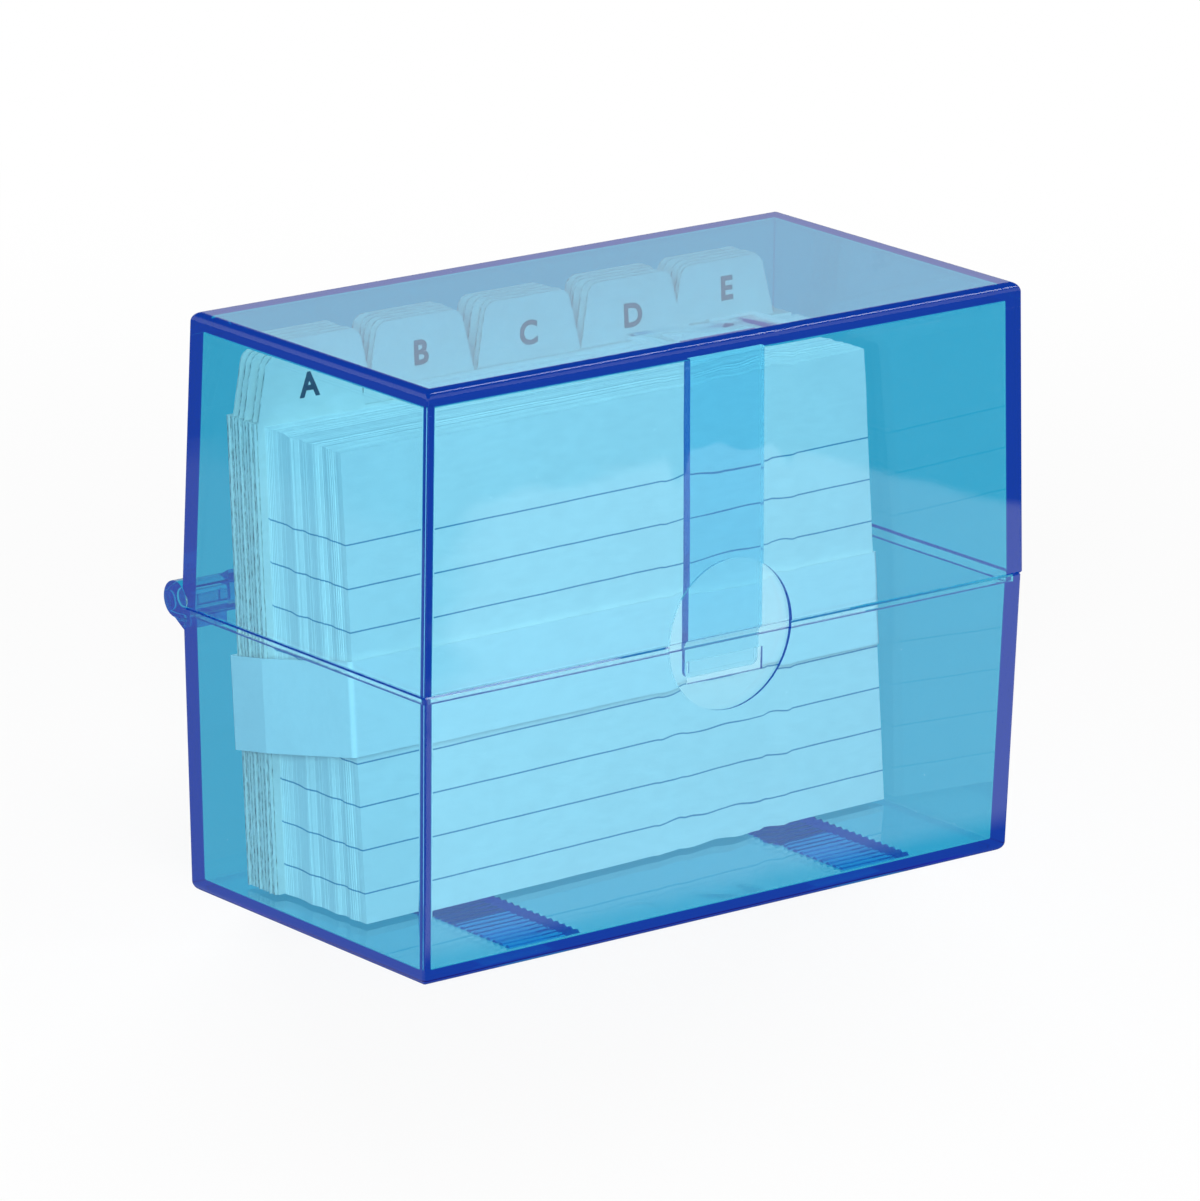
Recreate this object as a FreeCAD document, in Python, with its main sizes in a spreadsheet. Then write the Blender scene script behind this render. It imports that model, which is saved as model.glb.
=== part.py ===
import FreeCAD, Part
import Sketcher
import os

# Index card box for DIN A7 landscape: a clear blue tray, a hinged clear blue lid of
# the same plan, and inside them a banded stack of ruled cards and A to Z guides.
# Frame: X across the box, front towards -Y, Z up, the origin under the middle of
# the tray. Lengths are in millimetres, angles in degrees.

SIZES = {
    # Sheet that the box is made for, DIN A7 landscape, for cards and guides alike
    "card_width": 105.0,
    "card_height": 74.0,
    # Box: rooms beside and above the sheets, and the outer depth, all at the line
    # where lid and tray meet
    "side_room": 4.6,
    "head_room": 3.41,
    "box_depth": 62.3,
    "tray_height": 46.1,
    "wall_thickness": 2.3,
    "floor_thickness": 2.1,
    "top_thickness": 2.9,
    "wall_inset": 0.98,
    "tray_setback": 0.16,
    "edge_round": 1.5,
    "upright_round": 0.4,
    "inner_round": 0.3,
    "inner_upright_round": 0.25,
    # Rim: the lid's lip stands in a rebate of the tray
    "rim_gap": 0.05,
    "rim_chamfer": 0.25,
    "rebate_width": 1.1,
    "rebate_height": 1.35,
    "lip_side_gap": 0.2,
    "lip_end_gap": 0.2,
    # Thumb recess across both fronts
    "recess_diameter": 24.2,
    "recess_depth": 0.75,
    # Snap tongue inside the lid's front and its pocket in the tray
    "rib_width": 14.6,
    "rib_thickness": 1.5,
    "tongue_length": 6.5,
    "tongue_setback": 0.85,
    "tongue_corner": 1.2,
    "bump_width": 12.8,
    "bump_height": 1.9,
    "bump_rise": 0.8,
    "bump_depth": 0.15,
    "pocket_width": 14.9,
    "pocket_height": 3.6,
    "pocket_drop": 0.6,
    "pocket_depth": 0.4,
    # Hinge: closed tray knuckles at the ends, lid knuckles with stubs beside them
    "barrel_diameter": 5.9,
    "axis_behind": 1.9,
    "axis_above": 0.7,
    "hinge_inset": 0.2,
    "tray_knuckle": 9.0,
    "lid_knuckle": 14.0,
    "knuckle_gap": 0.3,
    "barrel_clearance": 0.3,
    "stub_diameter": 3.0,
    "stub_clearance": 0.08,
    "stub_length": 5.0,
    "gusset_drop": 1.6,
    "gusset_root": 0.8,
    # Rows of ridges that keep the feet of the cards from sliding
    "ridge_length": 13.6,
    "ridge_inset": 26.4,
    "ridge_margin": 1.7,
    "ridge_height": 0.5,
    "ridge_foot_share": 0.8,
    "ridge_count": 33,
    # Guides, each a sheet with a tab, leaning on the back of the lid
    "guide_thickness": 0.29,
    "guide_play": 0.015,
    "guide_lean": 4.5,
    "guide_middle": 0.0,
    "guide_extra_height": 0.5,
    "guide_back_gap": 0.5,
    "guide_side_slip": 0.6,
    "tab_height": 10.1,
    "tab_foot": 20.6,
    "tab_top": 16.2,
    "tab_round": 2.2,
    "tab_margin": 0.2,
    # Ruled cards, ten to a pack, fanned towards the front left
    "card_thickness": 0.144,
    "cards_per_pack": 10,
    "pack_count": 10,
    "cards_middle": 1.4,
    "pack_drift": 0.9,
    "pack_side_slip": 0.35,
    "pack_top_slip": 0.45,
    "fan_yaw": 2.07,
    "fan_lean": 1.19,
    "seat_gap": 0.05,
    # Paper band round the stack
    "band_height": 15.0,
    "band_thickness": 0.2,
    "band_rise": 28.2,
    "band_tilt": 10.0,
    "band_face_gap": 0.45,
    "band_side_gap": 0.7,
    "band_round": 0.9,
    "band_fold": 0.6,
    # One overrun for every cut
    "overrun": 1.0,
}

GUIDE_NAMES = list("abcdefghijklmnopqrstuvw") + ["xy", "z"]
TAB_PLACE_SHARES = [-1.0, -0.51, -0.005, 0.495, 0.955]
GUIDE_SLIP_SHARES = [0.3, -0.5, 0.0, -0.2, -0.8, 0.4, -0.2, 0.6, -0.4]
PACK_SIDE_SHARES = [0.4, -0.3, 0.8, -0.6, 0.1, 0.5, -0.9, 0.2, 0.7, 0.0]
PACK_TOP_SHARES = [0.2, 0.6, 0.4, 0.8, 0.1, 0.5, 0.3, 0.9, 0.6, 1.0]
SAME_PLACE = 1e-4


def value(alias):
    """Return one size as a number."""
    return float(SIZES[alias])


def number_of(body, expression):
    """Work out an expression of the sheet as a number."""
    return float(body.Document.Sizes.evalExpression(expression))


def make_sheet(doc):
    """Write every size into the sheet, one row each, under its own alias."""
    sheet = doc.addObject("Spreadsheet::Sheet", "Sizes")
    for row, (alias, number) in enumerate(SIZES.items(), start=1):
        sheet.set(f"A{row}", alias)
        sheet.set(f"B{row}", str(number))
        sheet.setAlias(f"B{row}", alias)
    doc.recompute()
    return sheet


def size(alias):
    """Return the expression that reads one size from the sheet."""
    return f"Sizes.{alias}"


# Expressions that several pieces share

HALF_WIDTH = f"({size('card_width')} / 2 + {size('side_room')} + {size('wall_thickness')})"
HALF_DEPTH = f"({size('box_depth')} / 2)"
SPLIT = size("tray_height")
LID_FOOT = f"({SPLIT} + {size('rim_gap')})"
SEAT_Z = f"({size('floor_thickness')} + {size('ridge_height')} + {size('seat_gap')})"
BOARD_HEIGHT = f"({size('card_height')} + {size('guide_extra_height')})"
GUIDE_LENGTH = f"({BOARD_HEIGHT} + {size('tab_height')})"
TAB_TOP = f"({SEAT_Z} + {GUIDE_LENGTH} * cos({size('guide_lean')}))"
CEILING = f"({TAB_TOP} + {size('head_room')})"
LID_TOP = f"({CEILING} + {size('top_thickness')})"
AXIS_Y = f"({HALF_DEPTH} + {size('axis_behind')})"
AXIS_Z = f"({SPLIT} + {size('axis_above')})"
BARREL_RADIUS = f"({size('barrel_diameter')} / 2)"
HINGE_END = f"({HALF_WIDTH} - {size('hinge_inset')})"


def tray_half(half, height):
    """Half of the tray's outer plan at a height; it narrows to the foot."""
    return f"({half} - {size('tray_setback')} - {size('wall_inset')} * (1 - ({height}) / {SPLIT}))"


def lid_half(half, height):
    """Half of the lid's outer plan at a height; it narrows to the top."""
    return f"({half} - {size('wall_inset')} * (({height}) - {SPLIT}) / ({LID_TOP} - {SPLIT}))"


def inside(outer):
    """The inner face that belongs to an outer face."""
    return f"({outer} - {size('wall_thickness')})"


def find_plane(body, role):
    """Return one of a body's own origin planes."""
    return next(item for item in body.Origin.OriginFeatures if item.Role == role)


def outline(body, name, role, offset, corners, tilt=None):
    """Draw a closed outline on one of a body's origin planes.

    Each corner is a pair of expressions in the plane's own axes, and the offset
    moves the plane along its normal.
    """
    sketch = body.newObject("Sketcher::SketchObject", name)
    sketch.AttachmentSupport = [(find_plane(body, role), "")]
    sketch.MapMode = "FlatFace"
    if tilt is not None:
        turned = FreeCAD.Rotation(FreeCAD.Vector(-1, 0, 0), 1)
        sketch.AttachmentOffset = FreeCAD.Placement(FreeCAD.Vector(), turned)
        sketch.setExpression("AttachmentOffset.Rotation.Angle", tilt)
    sketch.setExpression("AttachmentOffset.Base.z", offset)
    points = []
    for pair in corners:
        numbers = [number_of(body, text) for text in pair]
        points.append(FreeCAD.Vector(numbers[0], numbers[1], 0))
    count = len(points)
    for index in range(count):
        line = Part.LineSegment(points[index], points[(index + 1) % count])
        sketch.addGeometry(line, False)
    for index in range(count):
        follows = (index + 1) % count
        sketch.addConstraint(Sketcher.Constraint("Coincident", index, 2, follows, 1))
    for index, (point, pair) in enumerate(zip(points, corners)):
        across = Sketcher.Constraint("DistanceX", -1, 1, index, 1, point.x)
        number = sketch.addConstraint(across)
        sketch.setExpression(f"Constraints[{number}]", pair[0])
        along = Sketcher.Constraint("DistanceY", -1, 1, index, 1, point.y)
        number = sketch.addConstraint(along)
        sketch.setExpression(f"Constraints[{number}]", pair[1])
    return sketch


def loft(body, name, kind, role, ends):
    """Join two outlines, each an offset and its corners, by flat faces."""
    sketches = []
    for number, (offset, corners) in enumerate(ends, start=1):
        sketches.append(outline(body, f"{name}Outline{number}", role, offset, corners))
    feature = body.newObject(f"PartDesign::{kind}Loft", name)
    feature.Profile = sketches[0]
    feature.Sections = sketches[1:]
    feature.Ruled = True
    return feature


def tapered_block(body, name, kind, heights, low, high):
    """Add or take away an upright block whose plan changes from low to high.

    The plans are pairs of half sizes, at the lower and at the upper height.
    """
    feature = body.newObject(f"PartDesign::{kind}Wedge", name)
    upright = FreeCAD.Rotation(FreeCAD.Vector(1, 0, 0), 90)
    feature.Placement = FreeCAD.Placement(FreeCAD.Vector(), upright)
    for letter, near, far in zip("XZ", low, high):
        feature.setExpression(f"{letter}min", f"-({near})")
        feature.setExpression(f"{letter}max", near)
        feature.setExpression(f"{letter}2min", f"-({far})")
        feature.setExpression(f"{letter}2max", far)
    feature.setExpression("Ymin", "0")
    feature.setExpression("Ymax", f"{heights[1]} - {heights[0]}")
    feature.setExpression("Placement.Base.z", heights[0])
    return feature


def pad(body, name, sketch, length):
    """Raise an outline along its plane's normal."""
    feature = body.newObject("PartDesign::Pad", name)
    feature.Profile = sketch
    feature.setExpression("Length", length)
    return feature


def cylinder_along(body, name, kind, axis, radius, length, base):
    """Add or take away a cylinder along X or Y that starts at a point."""
    feature = body.newObject(f"PartDesign::{kind}Cylinder", name)
    turns = {
        "X": FreeCAD.Rotation(FreeCAD.Vector(0, 1, 0), 90),
        "Y": FreeCAD.Rotation(FreeCAD.Vector(1, 0, 0), -90),
    }
    feature.Placement = FreeCAD.Placement(FreeCAD.Vector(), turns[axis])
    feature.setExpression("Radius", radius)
    feature.setExpression("Height", length)
    for letter, text in zip("xyz", base):
        feature.setExpression(f"Placement.Base.{letter}", text)
    return feature


def block(body, name, kind, sizes, base):
    """Add or take away an upright block that starts at its lowest corner."""
    feature = body.newObject(f"PartDesign::{kind}Box", name)
    for prop, text in zip(("Length", "Width", "Height"), sizes):
        feature.setExpression(prop, text)
    for letter, text in zip("xyz", base):
        feature.setExpression(f"Placement.Base.{letter}", text)
    return feature


def edges_of(feature, test):
    """Name the edges of a feature's shape that pass a test."""
    names = []
    for number, edge in enumerate(feature.Shape.Edges, start=1):
        if test(edge):
            names.append(f"Edge{number}")
    return names


def treat_edges(body, name, kind, feature, test, prop, amount):
    """Round or chamfer the edges that pass a test."""
    body.Document.recompute()
    names = edges_of(feature, test)
    if not names:
        raise ValueError(f"{name} found no edges")
    treated = body.newObject(f"PartDesign::{kind}", name)
    treated.Base = (feature, names)
    treated.setExpression(prop, amount)
    return treated


def is_upright(edge):
    """Tell whether an edge runs mostly upwards."""
    first, last = edge.Vertexes[0].Point, edge.Vertexes[-1].Point
    run = last - first
    return abs(run.z) > abs(run.x) + abs(run.y)


def is_at_height(height):
    """Make a test for level edges at one height."""
    def test(edge):
        return all(abs(vertex.Z - height) < SAME_PLACE for vertex in edge.Vertexes)
    return test


def new_body(doc, label):
    """Start a body whose label is the node's name."""
    body = doc.addObject("PartDesign::Body", label)
    body.Label = label
    return body


# Hinge pieces, the same at both ends but mirrored

def knuckle(body, name, start, length, upward):
    """Add one barrel length and the gusset that carries it on the wall."""
    base = (start, AXIS_Y, AXIS_Z)
    cylinder_along(body, f"{name}Barrel", "Additive", "X", BARREL_RADIUS, length, base)
    root_y = f"({HALF_DEPTH} - {size('gusset_root')})"
    side = "+" if upward else "-"
    root_z = LID_FOOT if upward else f"({SPLIT} - {size('rim_gap')})"
    far_z = f"({AXIS_Z} {side} ({BARREL_RADIUS} + {size('gusset_drop')}))"
    near_z = f"({AXIS_Z} {side} {BARREL_RADIUS})"
    corners = [(root_y, root_z), (AXIS_Y, AXIS_Z), (AXIS_Y, near_z), (root_y, far_z)]
    sketch = outline(body, f"{name}GussetOutline", "YZ_Plane", start, corners)
    return pad(body, f"{name}Gusset", sketch, length)


def barrel_notch(body, name, start, length):
    """Clear a wall round the other piece's knuckle."""
    radius = f"({BARREL_RADIUS} + {size('barrel_clearance')})"
    base = (start, AXIS_Y, AXIS_Z)
    return cylinder_along(body, name, "Subtractive", "X", radius, length, base)


# The tray

def make_tray(doc):
    """Build the open lower half with its ridges, pocket and end knuckles."""
    body = new_body(doc, "base_tray")
    over = size("overrun")
    foot_x, foot_y = tray_half(HALF_WIDTH, "0"), tray_half(HALF_DEPTH, "0")
    rim_x, rim_y = tray_half(HALF_WIDTH, SPLIT), tray_half(HALF_DEPTH, SPLIT)
    shell = tapered_block(
        body, "TrayBlock", "Additive", ("0", SPLIT), (foot_x, foot_y), (rim_x, rim_y))
    uprights = treat_edges(
        body, "TrayUprights", "Fillet", shell, is_upright, "Radius", size("upright_round"))
    treat_edges(
        body, "TrayFoot", "Fillet", uprights, is_at_height(0), "Radius", size("edge_round"))

    floor = size("floor_thickness")
    above = f"({SPLIT} + {over})"
    low_x, low_y = (inside(tray_half(half, floor)) for half in (HALF_WIDTH, HALF_DEPTH))
    high_x, high_y = (inside(tray_half(half, above)) for half in (HALF_WIDTH, HALF_DEPTH))
    cavity = tapered_block(
        body, "TrayInside", "Subtractive", (floor, above), (low_x, low_y), (high_x, high_y))
    reach = number_of(body, inside(HALF_DEPTH))

    def is_inner_upright(edge):
        box = edge.BoundBox
        tall = box.ZLength > value("tray_height") / 2
        depth = max(abs(box.YMin), abs(box.YMax))
        return tall and is_upright(edge) and depth < reach + SAME_PLACE

    inner = treat_edges(body, "TrayInnerUprights", "Fillet", cavity, is_inner_upright,
                        "Radius", size("inner_upright_round"))
    treat_edges(body, "TrayInnerFoot", "Fillet", inner, is_at_height(value("floor_thickness")),
                "Radius", size("inner_round"))

    rebate_x = f"({inside(rim_x)} + {size('rebate_width')})"
    rebate_y = f"({inside(rim_y)} + {size('rebate_width')})"
    rebate_z = f"({SPLIT} - {size('rebate_height')})"
    rebate = block(body, "RimRebate", "Subtractive",
                   (f"2 * {rebate_x}", f"2 * {rebate_y}", f"{above} - {rebate_z}"),
                   (f"-{rebate_x}", f"-{rebate_y}", rebate_z))

    rim_edge_x = number_of(body, f"{HALF_WIDTH} - {size('wall_thickness')} / 2")
    rim_edge_y = number_of(body, f"{HALF_DEPTH} - {size('wall_thickness')} / 2")

    def is_outer_rim(edge):
        box = edge.BoundBox
        at_top = is_at_height(value("tray_height"))(edge)
        far = max(abs(box.XMin), abs(box.XMax)) > rim_edge_x
        deep = min(abs(box.YMin), abs(box.YMax)) > rim_edge_y
        wide = min(abs(box.XMin), abs(box.XMax)) > rim_edge_x
        return at_top and (deep or (far and wide))

    treat_edges(
        body, "RimChamfer", "Chamfer", rebate, is_outer_rim, "Size", size("rim_chamfer"))

    recess_y = f"(-{HALF_DEPTH} - {over})"
    recess_run = f"({size('recess_depth')} + {over})"
    cylinder_along(body, "ThumbRecess", "Subtractive", "Y", f"{size('recess_diameter')} / 2",
                   recess_run, ("0", recess_y, SPLIT))
    pocket_foot = f"({SPLIT} - {size('tongue_length')} - {size('pocket_drop')})"
    pocket_top = f"({pocket_foot} + {size('pocket_height')})"
    pocket_face = f"({inside(tray_half(HALF_DEPTH, pocket_top))} + {size('pocket_depth')})"
    block(body, "CatchPocket", "Subtractive",
          (size("pocket_width"), f"{size('pocket_depth')} + {over}", size("pocket_height")),
          (f"-{size('pocket_width')} / 2", f"-{pocket_face}", pocket_foot))

    ridge_y = f"(-{low_y} + {size('ridge_margin')})"
    ridge_run = f"(2 * ({low_y} - {size('ridge_margin')}))"
    ridge_gaps = f"({size('ridge_count')} - 1)"
    half_foot = f"({ridge_run} / {ridge_gaps} * {size('ridge_foot_share')} / 2)"
    root = f"({floor} - {size('ridge_height')})"
    crest = f"({floor} + {size('ridge_height')})"
    corners = [
        (f"{ridge_y} - {half_foot}", root),
        (f"{ridge_y} + {half_foot}", root),
        (f"{ridge_y} + {half_foot}", floor),
        (ridge_y, crest),
        (f"{ridge_y} - {half_foot}", floor),
    ]
    left_end = f"-({size('ridge_inset')} + {size('ridge_length')})"
    starts = {"Left": left_end, "Right": size("ridge_inset")}
    for side, start in starts.items():
        sketch = outline(body, f"Ridge{side}Outline", "YZ_Plane", start, corners)
        ridge = pad(body, f"Ridge{side}", sketch, size("ridge_length"))
        pattern = body.newObject("PartDesign::LinearPattern", f"Ridges{side}")
        pattern.Originals = [ridge]
        pattern.Direction = (find_plane(body, "XZ_Plane"), [""])
        pattern.Reversed = True
        pattern.setExpression("Length", ridge_run)
        pattern.setExpression("Occurrences", size("ridge_count"))
        body.Tip = pattern

    notch_run = f"({size('lid_knuckle')} + 2 * {size('knuckle_gap')})"
    inner_end = f"({HINGE_END} - {size('tray_knuckle')})"
    barrel_notch(body, "NotchLeft", f"-{inner_end}", notch_run)
    barrel_notch(body, "NotchRight", f"{inner_end} - {notch_run}", notch_run)
    knuckle(body, "KnuckleLeft", f"-{HINGE_END}", size("tray_knuckle"), upward=False)
    knuckle(body, "KnuckleRight", inner_end, size("tray_knuckle"), upward=False)
    bore = f"({size('stub_diameter')} / 2 + {size('stub_clearance')})"
    bore_run = f"({size('stub_length')} + {size('knuckle_gap')} + {over})"
    cylinder_along(body, "BoreLeft", "Subtractive", "X", bore, bore_run,
                   (f"-{inner_end} + {over} - {bore_run}", AXIS_Y, AXIS_Z))
    cylinder_along(body, "BoreRight", "Subtractive", "X", bore, bore_run,
                   (f"{inner_end} - {over}", AXIS_Y, AXIS_Z))
    return body


# The lid

def make_lid(doc):
    """Build the hinged upper half with its lip, snap tongue and knuckles."""
    body = new_body(doc, "lid")
    over = size("overrun")
    foot_x, foot_y = lid_half(HALF_WIDTH, LID_FOOT), lid_half(HALF_DEPTH, LID_FOOT)
    top_x, top_y = lid_half(HALF_WIDTH, LID_TOP), lid_half(HALF_DEPTH, LID_TOP)
    shell = tapered_block(
        body, "LidBlock", "Additive", (LID_FOOT, LID_TOP), (foot_x, foot_y), (top_x, top_y))
    lid_foot = number_of(body, LID_FOOT)
    lid_top = number_of(body, LID_TOP)
    uprights = treat_edges(
        body, "LidUprights", "Fillet", shell, is_upright, "Radius", size("upright_round"))
    crown = treat_edges(
        body, "LidCrown", "Fillet", uprights, is_at_height(lid_top), "Radius", size("edge_round"))
    treat_edges(body, "LidRimChamfer", "Chamfer", crown, is_at_height(lid_foot),
                "Size", size("rim_chamfer"))

    lip_foot = f"({SPLIT} - {size('rebate_height')} + {size('lip_end_gap')})"
    lip_root = f"({LID_FOOT} + {over})"
    lip_push = f"({size('rebate_width')} - {size('lip_side_gap')} - {size('tray_setback')})"
    lip_x, lip_y = (f"({inside(half)} + {lip_push})" for half in (foot_x, foot_y))
    block(body, "LidLip", "Additive",
          (f"2 * {lip_x}", f"2 * {lip_y}", f"{lip_root} - {lip_foot}"),
          (f"-{lip_x}", f"-{lip_y}", lip_foot))

    below = f"({lip_foot} - {over})"
    low_x, low_y = (inside(lid_half(half, below)) for half in (HALF_WIDTH, HALF_DEPTH))
    high_x, high_y = (inside(lid_half(half, CEILING)) for half in (HALF_WIDTH, HALF_DEPTH))
    cavity = tapered_block(
        body, "LidInside", "Subtractive", (below, CEILING), (low_x, low_y), (high_x, high_y))
    reach = number_of(body, inside(HALF_DEPTH))
    ceiling_height = number_of(body, CEILING)

    def is_inner_upright(edge):
        box = edge.BoundBox
        tall = box.ZLength > (lid_top - lid_foot) / 2
        depth = max(abs(box.YMin), abs(box.YMax))
        return tall and is_upright(edge) and depth < reach + value("wall_inset")

    inner = treat_edges(body, "LidInnerUprights", "Fillet", cavity, is_inner_upright,
                        "Radius", size("inner_upright_round"))
    treat_edges(body, "LidInnerCrown", "Fillet", inner, is_at_height(ceiling_height),
                "Radius", size("inner_round"))

    recess_y = f"(-{HALF_DEPTH} - {over})"
    recess_run = f"({size('recess_depth')} + {over})"
    cylinder_along(body, "ThumbRecess", "Subtractive", "Y", f"{size('recess_diameter')} / 2",
                   recess_run, ("0", recess_y, SPLIT))

    # Rib down the inside of the front, and the tongue that it ends in
    face_foot = inside(foot_y)
    face_top = inside(lid_half(HALF_DEPTH, CEILING))
    tongue_foot = f"({SPLIT} - {size('tongue_length')})"
    tongue_face = f"({face_foot} - {size('tongue_setback')})"
    root = f"({size('tongue_setback')} / 2)"
    corners = [
        (f"-({face_top} + {root})", f"{CEILING} + {root}"),
        (f"-({face_foot} + {root})", LID_FOOT),
        (f"-{face_foot}", LID_FOOT),
        (f"-{tongue_face}", f"{lip_foot} - {size('lip_end_gap')}"),
        (f"-{tongue_face}", tongue_foot),
        (f"-({face_foot} - {size('rib_thickness')})", tongue_foot),
        (f"-({face_foot} - {size('rib_thickness')})", LID_FOOT),
        (f"-({face_top} - {size('rib_thickness')})", f"{CEILING} + {root}"),
    ]
    half_rib = f"({size('rib_width')} / 2)"
    sketch = outline(body, "RibOutline", "YZ_Plane", f"-{half_rib}", corners)
    rib = pad(body, "Rib", sketch, size("rib_width"))
    tip = value("tray_height") - value("tongue_length")

    def is_tongue_corner(edge):
        box = edge.BoundBox
        across = max(box.XLength, box.ZLength)
        return is_at_height(tip)(edge) and across < SAME_PLACE

    treat_edges(
        body, "TongueCorners", "Fillet", rib, is_tongue_corner, "Radius", size("tongue_corner"))
    bump_front = f"({tongue_face} + {size('bump_depth')})"
    block(body, "SnapBump", "Additive",
          (size("bump_width"), f"{size('bump_depth')} + {root}", size("bump_height")),
          (f"-{size('bump_width')} / 2", f"-{bump_front}", f"{tongue_foot} + {size('bump_rise')}"))

    notch_run = f"({size('tray_knuckle')} + {size('knuckle_gap')} + {over})"
    inner_end = f"({HINGE_END} - {size('tray_knuckle')} - {size('knuckle_gap')})"
    barrel_notch(body, "NotchLeft", f"-({inner_end} + {notch_run})", notch_run)
    barrel_notch(body, "NotchRight", inner_end, notch_run)
    knuckle(body, "KnuckleLeft", f"-{inner_end}", size("lid_knuckle"), upward=True)
    knuckle(body, "KnuckleRight", f"{inner_end} - {size('lid_knuckle')}", size("lid_knuckle"),
            upward=True)
    stub_run = f"({size('stub_length')} + {size('knuckle_gap')})"
    rooted = f"({stub_run} + {over})"
    stub = f"({size('stub_diameter')} / 2)"
    cylinder_along(body, "StubLeft", "Additive", "X", stub, rooted,
                   (f"-({inner_end} + {stub_run})", AXIS_Y, AXIS_Z))
    cylinder_along(body, "StubRight", "Additive", "X", stub, rooted,
                   (f"{inner_end} - {over}", AXIS_Y, AXIS_Z))
    return body


# The stack: guides at the back, cards before them, a band round both

GUIDE_PITCH = f"(({size('guide_thickness')} + {size('guide_play')}) / cos({size('guide_lean')}))"
STACK_RISE = f"({size('card_height')} * cos({size('guide_lean')}))"
STACK_TOP = f"({SEAT_Z} + {STACK_RISE})"
LID_BACK = inside(lid_half(HALF_DEPTH, TAB_TOP))
GUIDES_BACK = (
    f"({LID_BACK} - {size('guide_back_gap')}"
    f" - {GUIDE_LENGTH} * sin({size('guide_lean')}))"
)
CARDS_RIGHT = f"({size('cards_middle')} + {size('card_width')} / 2)"


def make_guide(doc, number):
    """Build one guide: a board and its tab, leaning back."""
    name = GUIDE_NAMES[number]
    body = new_body(doc, f"divider_{name}")
    half = f"({size('card_width')} / 2)"
    corners = [(f"-{half}", "0"), (half, "0"), (half, BOARD_HEIGHT), (f"-{half}", BOARD_HEIGHT)]
    sketch = outline(body, f"Board{name}Outline", "XZ_Plane", "0", corners)
    pad(body, f"Board{name}", sketch, size("guide_thickness"))
    place_share = TAB_PLACE_SHARES[number % len(TAB_PLACE_SHARES)]
    half_foot = f"({size('tab_foot')} / 2)"
    outermost = f"({size('card_width')} / 2 - {size('tab_margin')} - {half_foot})"
    middle = f"({place_share} * {outermost})"
    half_top = f"({size('tab_top')} / 2)"
    corners = [
        (f"{middle} - {half_foot}", BOARD_HEIGHT),
        (f"{middle} + {half_foot}", BOARD_HEIGHT),
        (f"{middle} + {half_top}", GUIDE_LENGTH),
        (f"{middle} - {half_top}", GUIDE_LENGTH),
    ]
    sketch = outline(body, f"Tab{name}Outline", "XZ_Plane", "0", corners)
    tab = pad(body, f"Tab{name}", sketch, size("guide_thickness"))
    top = number_of(body, GUIDE_LENGTH)

    def is_tab_corner(edge):
        box = edge.BoundBox
        return is_at_height(top)(edge) and box.XLength < SAME_PLACE

    treat_edges(
        body, f"Tab{name}Round", "Fillet", tab, is_tab_corner, "Radius", size("tab_round"))
    turned = FreeCAD.Rotation(FreeCAD.Vector(-1, 0, 0), 1)
    body.Placement = FreeCAD.Placement(FreeCAD.Vector(), turned)
    body.setExpression("Placement.Rotation.Angle", size("guide_lean"))
    slip_share = GUIDE_SLIP_SHARES[number % len(GUIDE_SLIP_SHARES)]
    behind = len(GUIDE_NAMES) - 1 - number
    body.setExpression(
        "Placement.Base.x", f"{size('guide_middle')} + {slip_share} * {size('guide_side_slip')}")
    body.setExpression("Placement.Base.y", f"{GUIDES_BACK} - {behind} * {GUIDE_PITCH}")
    body.setExpression("Placement.Base.z", SEAT_Z)
    return body


def fan_angles(packs):
    """Yaw and lean of the plane that lies a number of packs before the guides."""
    share = f"({packs} / {size('pack_count')})"
    yaw = f"({share} * {size('fan_yaw')})"
    lean = f"({size('guide_lean')} + {share} * {size('fan_lean')})"
    return yaw, lean


def plane_y(packs, across, height):
    """Depth of a plane between packs, at a place across and a height.

    The packs are tight at the upper right corner and fan open from it.
    """
    yaw, lean = fan_angles(packs)
    pack = f"({size('card_thickness')} * {size('cards_per_pack')})"
    guides = f"({len(GUIDE_NAMES)} * {GUIDE_PITCH})"
    back_top = f"({GUIDES_BACK} - {guides} + {STACK_RISE} * tan({size('guide_lean')}))"
    tight = f"({back_top} - {packs} * {pack})"
    return (
        f"({tight} - tan({yaw}) * ({CARDS_RIGHT} - ({across}))"
        f" - tan({lean}) * ({STACK_TOP} - ({height})))"
    )


def make_pack(doc, number):
    """Build one pack of ten cards as the fanned block that they fill."""
    name = f"cards_{number + 1:02d}"
    body = new_body(doc, name)
    packs_behind = len(PACK_SIDE_SHARES) - 1 - number
    drift = f"({number} / {size('pack_count')} * {size('pack_drift')})"
    slip = f"({PACK_SIDE_SHARES[number]} * {size('pack_side_slip')})"
    middle = f"({size('cards_middle')} + {size('pack_drift')} - {drift} + {slip})"
    top = f"({STACK_TOP} - (1 - {PACK_TOP_SHARES[number]}) * {size('pack_top_slip')})"
    ends = []
    for side in ("-", "+"):
        across = f"({middle} {side} {size('card_width')} / 2)"
        corners = [
            (plane_y(packs_behind + 1, across, SEAT_Z), SEAT_Z),
            (plane_y(packs_behind, across, SEAT_Z), SEAT_Z),
            (plane_y(packs_behind, across, top), top),
            (plane_y(packs_behind + 1, across, top), top),
        ]
        ends.append((across, corners))
    loft(body, f"Pack{number + 1}", "Additive", "YZ_Plane", ends)
    return body


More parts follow.
